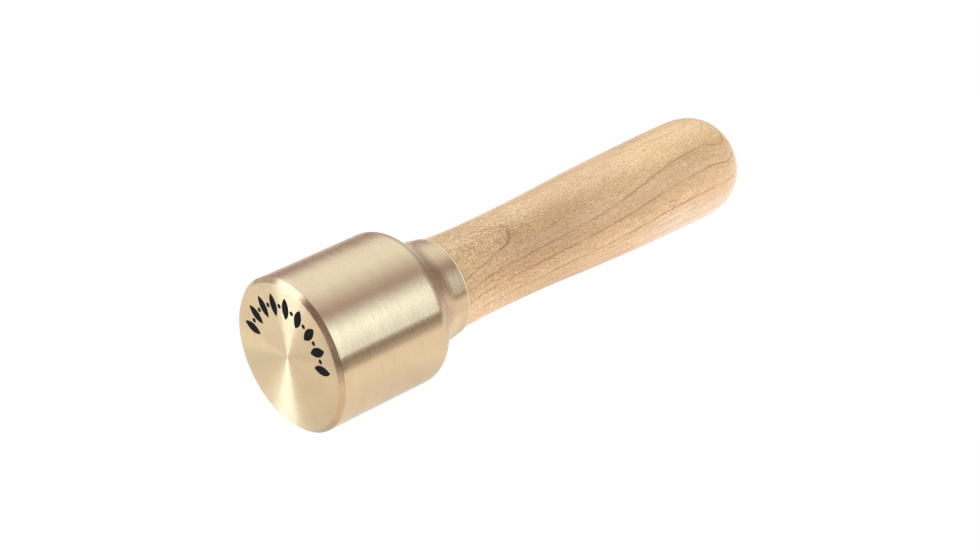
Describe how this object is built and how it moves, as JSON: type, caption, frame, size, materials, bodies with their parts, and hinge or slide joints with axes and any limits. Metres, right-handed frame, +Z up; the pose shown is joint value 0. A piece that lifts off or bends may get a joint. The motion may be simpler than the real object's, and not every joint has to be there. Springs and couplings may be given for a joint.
{
  "type": "carving mallet",
  "caption": "Carver's mallet with a turned cylindrical brass head, necked to a turned maple handle with a rounded butt.",
  "frame": {"origin": "on the ground below the middle of the mallet as it lies on its side, midway between the striking face and the butt", "axes": "+X along the mallet from the head to the butt, -X out of the striking face, +Z up, +Y sideways"},
  "size_m": [0.191, 0.0508, 0.0508],
  "materials": {
    "brass": "fine turned and brushed, clear, unlacquered",
    "maple": "turned hard maple under a thin satin varnish",
    "steel": "zinc plated",
    "epoxy": "cured amber epoxy",
    "black_enamel": "black enamel infill, satin"
  },
  "bodies": {
    "root": {"brass_head": "brass", "maple_handle": "maple", "hanger_bolt": "steel", "socket_epoxy": "epoxy", "face_inlay": "black_enamel"}
  },
  "joints": []
}
